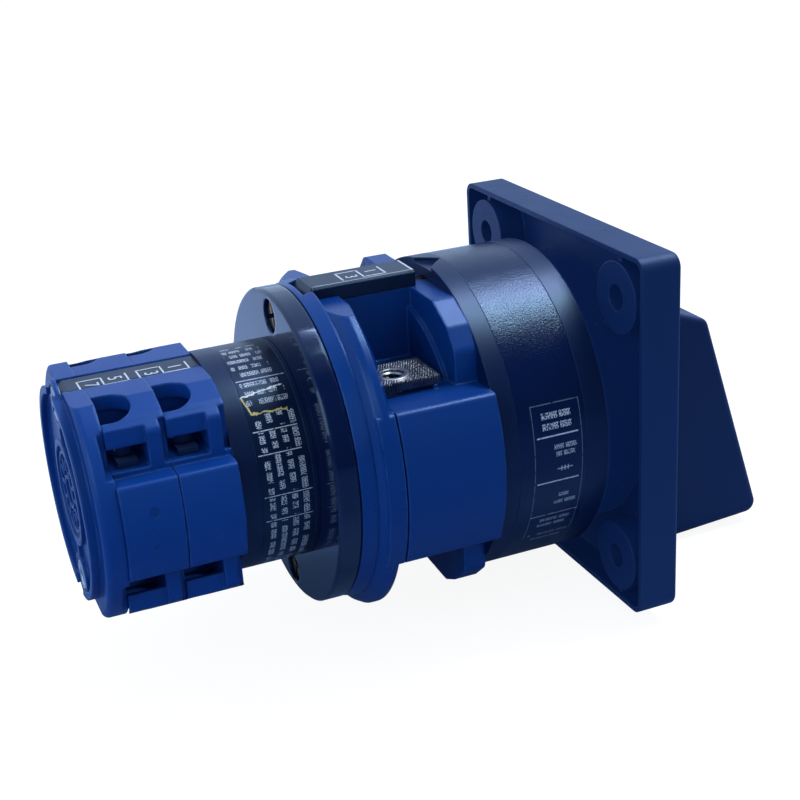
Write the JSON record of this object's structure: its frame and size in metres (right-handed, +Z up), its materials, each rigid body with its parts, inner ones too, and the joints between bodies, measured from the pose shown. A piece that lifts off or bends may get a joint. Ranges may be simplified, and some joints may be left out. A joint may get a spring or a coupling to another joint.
{
  "type": "cam switch",
  "caption": "Rotary cam switch for a panel: lever handle, square front plate, latch, a large contact stage and smaller stages behind an adapter disc.",
  "frame": {"origin": "on the switch axis, in the plane where the front plate rests on its panel", "axes": "+Y along the switch axis away from the handle, +Z up, the handle pointing down at rest"},
  "size_m": [0.0646, 0.1323, 0.0675],
  "materials": {
    "blue_moulding": "satin moulded",
    "dark_moulding": "satin moulded",
    "gloss_dark": "polished",
    "label_film": "satin film with pale lines",
    "insulating_moulding": "fine matt",
    "plated_steel": "zinc plated",
    "yellow_plated_steel": "yellow zinc plated",
    "contact_metal": "tin plated with grooves",
    "contact_bar": "rolled",
    "spring_steel": "drawn wire",
    "shaft_steel": "cold drawn"
  },
  "bodies": {
    "base": {"adapter_disc": "gloss_dark", "detent_springs": "spring_steel", "front_plate": "dark_moulding", "latch_housing": "dark_moulding", "latch_label": "label_film", "main_contact_far_bottom": "contact_metal", "main_contact_far_top": "contact_metal", "main_contact_near_bottom": "contact_metal", "main_contact_near_top": "contact_metal", "main_contact_springs": "spring_steel", "main_end_ring": "blue_moulding", "main_marking_strip": "dark_moulding", "main_stage_cover": "blue_moulding", "main_stage_housing": "blue_moulding", "main_terminal_screws": "plated_steel", "main_tie_bolts": "yellow_plated_steel", "plate_screws": "plated_steel", "rear_collar": "dark_moulding", "rear_contact_front_far_bottom": "contact_metal", "rear_contact_front_far_top": "contact_metal", "rear_contact_front_near_bottom": "contact_metal", "rear_contact_front_near_top": "contact_metal", "rear_contact_rear_far_bottom": "contact_metal", "rear_contact_rear_far_top": "contact_metal", "rear_contact_rear_near_bottom": "contact_metal", "rear_contact_rear_near_top": "contact_metal", "rear_contact_springs": "spring_steel", "rear_end_cap": "blue_moulding", "rear_label": "label_film", "rear_marking_strip": "dark_moulding", "rear_nuts": "plated_steel", "rear_stage_front": "blue_moulding", "rear_stage_rear": "blue_moulding", "rear_studs": "plated_steel", "rear_terminal_screws": "plated_steel"},
    "rotor": {"handle": "dark_moulding", "handle_screw": "plated_steel", "shaft": "shaft_steel", "star_wheel": "insulating_moulding", "main_cam": "insulating_moulding", "rear_cam_front": "insulating_moulding", "rear_cam_rear": "insulating_moulding"},
    "main_plunger_near": {"main_plunger_near": "insulating_moulding", "main_bridge_near": "contact_bar"},
    "rear_plunger_front_near": {"rear_plunger_front_near": "insulating_moulding", "rear_bridge_front_near": "contact_bar"},
    "rear_plunger_rear_near": {"rear_plunger_rear_near": "insulating_moulding", "rear_bridge_rear_near": "contact_bar"},
    "detent_near": {"detent_slider_near": "insulating_moulding", "detent_roller_near": "plated_steel"},
    "main_plunger_far": {"main_plunger_far": "insulating_moulding", "main_bridge_far": "contact_bar"},
    "rear_plunger_front_far": {"rear_plunger_front_far": "insulating_moulding", "rear_bridge_front_far": "contact_bar"},
    "rear_plunger_rear_far": {"rear_plunger_rear_far": "insulating_moulding", "rear_bridge_rear_far": "contact_bar"},
    "detent_far": {"detent_slider_far": "insulating_moulding", "detent_roller_far": "plated_steel"}
  },
  "joints": [
    {"name": "handle_turn", "type": "hinge", "parent": "base", "child": "rotor", "pos_m": [0, 0, 0], "axis": [0, 1, 0], "range_deg": [0, 90]},
    {"name": "main_plunger_near_slide", "type": "slide", "parent": "base", "child": "main_plunger_near", "axis": [1, 0, 0], "range_m": [0, 0.0024]},
    {"name": "rear_plunger_front_near_slide", "type": "slide", "parent": "base", "child": "rear_plunger_front_near", "axis": [1, 0, 0], "range_m": [0, 0.0018]},
    {"name": "rear_plunger_rear_near_slide", "type": "slide", "parent": "base", "child": "rear_plunger_rear_near", "axis": [1, 0, 0], "range_m": [0, 0.0018]},
    {"name": "detent_near_slide", "type": "slide", "parent": "base", "child": "detent_near", "axis": [1, 0, 0], "range_m": [0, 0.0014]},
    {"name": "main_plunger_far_slide", "type": "slide", "parent": "base", "child": "main_plunger_far", "axis": [-1, 0, 0], "range_m": [0, 0.0024]},
    {"name": "rear_plunger_front_far_slide", "type": "slide", "parent": "base", "child": "rear_plunger_front_far", "axis": [-1, 0, 0], "range_m": [0, 0.0018]},
    {"name": "rear_plunger_rear_far_slide", "type": "slide", "parent": "base", "child": "rear_plunger_rear_far", "axis": [-1, 0, 0], "range_m": [0, 0.0018]},
    {"name": "detent_far_slide", "type": "slide", "parent": "base", "child": "detent_far", "axis": [-1, 0, 0], "range_m": [0, 0.0014]}
  ],
  "couplings": [
    {"joint": "main_plunger_near_slide", "follows": "handle_turn", "m_per_rad": 0.0015279},
    {"joint": "rear_plunger_front_near_slide", "follows": "handle_turn", "m_per_rad": 0.0011459},
    {"joint": "rear_plunger_rear_near_slide", "follows": "handle_turn", "m_per_rad": 0.0011459},
    {"joint": "main_plunger_far_slide", "follows": "handle_turn", "m_per_rad": 0.0015279},
    {"joint": "rear_plunger_front_far_slide", "follows": "handle_turn", "m_per_rad": 0.0011459},
    {"joint": "rear_plunger_rear_far_slide", "follows": "handle_turn", "m_per_rad": 0.0011459}
  ]
}
